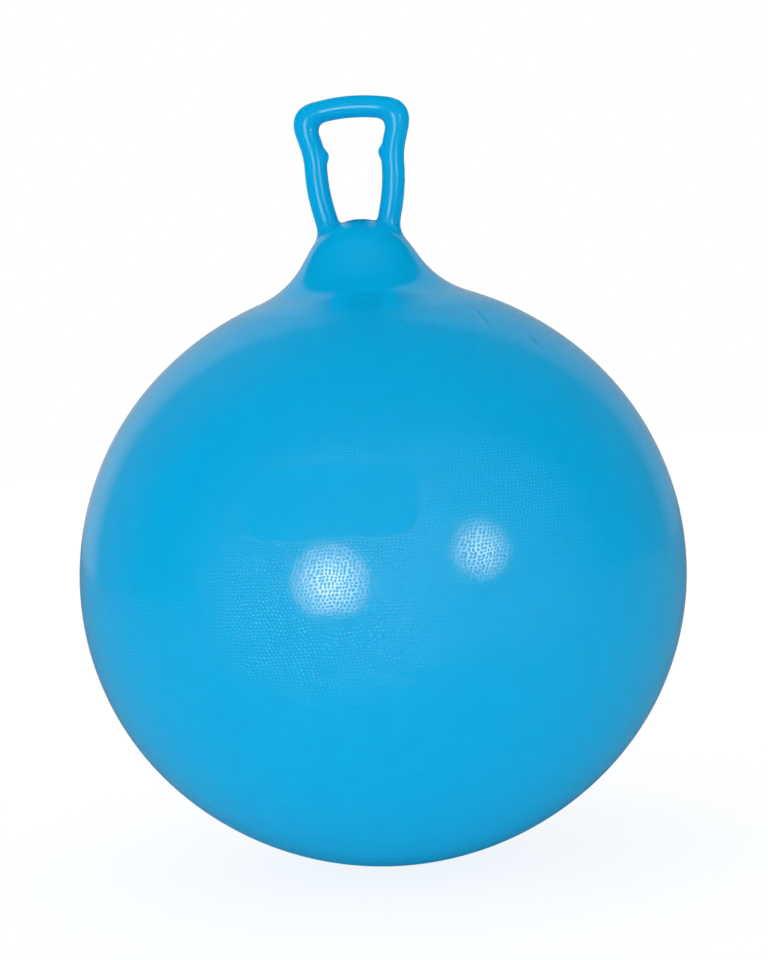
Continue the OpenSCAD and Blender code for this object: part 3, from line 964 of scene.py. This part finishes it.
# The sheet is clear to the light from below, and the ball still throws its shadow on it
floor.visible_shadow = False
opal = new_material("opal_sheet", floor)
sheet_rays = add(opal, "LightPath")
sheet_seen = add(opal, "Math", {"operation": "MAXIMUM"}, {
    0: sheet_rays.outputs["Is Camera Ray"],
    1: sheet_rays.outputs["Is Transmission Ray"],
})
sheet_glow = add(opal, "Math", {"operation": "MULTIPLY"}, {0: sheet_seen, 1: sheet_own})
sheet_light = add(opal, "Emission", None, {"Color": linear("#FFFFFF"), "Strength": sheet_glow})
sheet_face = add(opal, "BsdfDiffuse", None, {"Color": linear("#777777")})
sheet_shader = add(opal, "AddShader", None, {0: sheet_light, 1: sheet_face})
add(opal, "OutputMaterial", None, {"Surface": sheet_shader})

# %% The room and its wall
world = bpy.data.worlds.new("studio")
world.use_nodes = True
world.node_tree.nodes.clear()
bpy.context.scene.world = world
studio = world.node_tree
rays = add(studio, "LightPath")
ray_way = add(studio, "TexCoord").outputs["Generated"]
# The wall is an oval: each way along it is divided by how far it reaches, at a distance of 1. A
# dark gap opens upwards from its middle and leans to the left, with a pale board on each side. Both
# have soft edges, each with the distance where the light is nothing and the one where it is full.
wall_w = 0.97
wall_h = 2.3
wall_edge = (1.1, 0.88)
gap_lean = 0.15
gap_edge = (0.22, 0.58)
# The wall's brightness at its middle and its change towards the right, and the room's behind the
# camera, which fades to black at the sides
wall_middle = 0.42
wall_change = -0.2
room_behind = 0.25
# The smallest values that are divided by, so nothing grows without limit beside or below the wall
least_ahead = 0.05
least_above = 0.01
to_right, to_up, to_back = [
    add(studio, "VectorMath", {"operation": "DOT_PRODUCT"}, {0: ray_way, 1: axis}).outputs["Value"]
    for axis in (leaned_right / wall_w, leaned_up / wall_h, -to_camera)
]
off_middle = add(studio, "CombineXYZ", None, {0: to_right, 1: to_up})
off_share = add(studio, "VectorMath", {"operation": "LENGTH"}, {0: off_middle}).outputs["Value"]
ahead = add(studio, "Math", {"operation": "MAXIMUM"}, {0: to_back, 1: least_ahead})
wall_reach = add(studio, "Math", {"operation": "DIVIDE"}, {0: off_share, 1: ahead})
in_oval = add(studio, "MapRange", {"interpolation_type": "SMOOTHSTEP"},
              {"Value": wall_reach, "From Min": wall_edge[0], "From Max": wall_edge[1]})
leaned_gap = add(studio, "Math", {"operation": "MULTIPLY_ADD"}, {0: to_up, 1: gap_lean, 2: to_right})
across_wall = add(studio, "Math", {"operation": "ABSOLUTE"}, {0: leaned_gap})
above_middle = add(studio, "Math", {"operation": "MAXIMUM"}, {0: to_up, 1: least_above})
off_gap = add(studio, "Math", {"operation": "DIVIDE"}, {0: across_wall, 1: above_middle})
beside_gap = add(studio, "MapRange", {"interpolation_type": "SMOOTHSTEP"},
                 {"Value": off_gap, "From Min": gap_edge[0], "From Max": gap_edge[1]})
on_wall = add(studio, "Math", {"operation": "MULTIPLY"}, {0: in_oval, 1: beside_gap})
wall_light = add(studio, "Math", {"operation": "MULTIPLY_ADD"},
                 {0: to_right, 1: wall_change, 2: wall_middle})
room_light = add(studio, "Math", {"operation": "MULTIPLY", "use_clamp": True},
                 {0: to_back, 1: -room_behind})
mirrored = add(studio, "Mix", {"data_type": "FLOAT"}, {0: on_wall, 2: room_light, 3: wall_light})
seen = add(studio, "Math", {"operation": "MAXIMUM"},
           {0: rays.outputs["Is Camera Ray"], 1: rays.outputs["Is Transmission Ray"]})
strength = add(studio, "Mix", {"data_type": "FLOAT"}, {0: seen, 2: mirrored, 3: 1.0})
room = add(studio, "Background", None, {"Color": linear("#FFFFFF"), "Strength": strength})
add(studio, "OutputWorld", None, {"Surface": room})

# %% [markdown]
# The even light is three very wide suns, each as wide as half the sky. They light colours and stay
# out of reflections, where they would bleach the blue. Two round lamps near the camera do the
# opposite: they make the two bright spots and the lines on the handle, and light nothing else.


# %% Soft light and lamps
def put_lamp(lamp_data, way, distance):
    """A lamp at a distance from the middle of the ball along a way, turned to face the ball."""
    side = np.cross(leaned_up, way)
    side = side / np.linalg.norm(side)
    lamp_pose = np.eye(4)
    lamp_pose[:3, :3] = np.column_stack([side, np.cross(way, side), way])
    lamp_pose[:3, 3] = middle + distance * way
    lamp = bpy.data.objects.new(lamp_data.name, lamp_data)
    lamp.matrix_world = lamp_pose.T.tolist()
    lamp.visible_camera = False
    bpy.context.scene.collection.objects.link(lamp)
    print(lamp_data.name, f"{lamp_data.energy:.2f}")
    return lamp


lamp_distance = 2.5
disc_gap = 0.02
front_left = to_camera - leaned_right
# Each soft light: the way it comes from and its brightness
soft_lights = (
    ("soft_above", np.array([0, 0, 1]), 0.7),
    ("soft_below", np.array([0, 0, -1]), 0.79),
    ("soft_front", front_left / np.linalg.norm(front_left), 0.3),
)
for name, way, radiance in soft_lights:
    soft_data = bpy.data.lights.new(name, "SUN")
    soft_data.angle = math.pi
    soft_data.energy = math.pi * radiance
    # Without this, a few of the rays that gather light would still add it to the gloss
    soft_data.cycles.use_multiple_importance_sampling = False
    put_lamp(soft_data, way, lamp_distance).visible_glossy = False

# Each lamp: degrees right of and above the line from the ball to the camera, degrees from its
# middle to its edge as seen from the ball, and the brightness of its middle
lamps = (
    ("lamp_left", -18, -2.6, 13.5, 17),
    ("lamp_right", 33.6, 8.4, 10.5, 12),
)
# A lamp behind a frosted screen fades to its edge, so it is three discs, one in front of another:
# the share of its width and of its light
discs = ((1.0, 0.3), (0.7, 0.35), (0.37, 0.35))
for name, across_deg, above_deg, half_deg, radiance in lamps:
    h = math.radians(across_deg)
    v = math.radians(above_deg)
    way = (math.sin(h) * math.cos(v) * leaned_right + math.sin(v) * leaned_up
           + math.cos(h) * math.cos(v) * to_camera)
    for i, (width_share, light_share) in enumerate(discs):
        lamp_r = lamp_distance * math.tan(math.radians(half_deg)) * width_share
        lamp_data = bpy.data.lights.new(f"{name}_{i}", "AREA")
        lamp_data.shape = "DISK"
        lamp_data.size = 2 * lamp_r
        lamp_data.color = linear("#FFEFD8")[:3]
        lamp_data.energy = light_share * radiance * math.pi**2 * lamp_r**2
        put_lamp(lamp_data, way, lamp_distance - disc_gap * i).visible_diffuse = False
bpy.context.scene.view_settings.view_transform = "Standard"
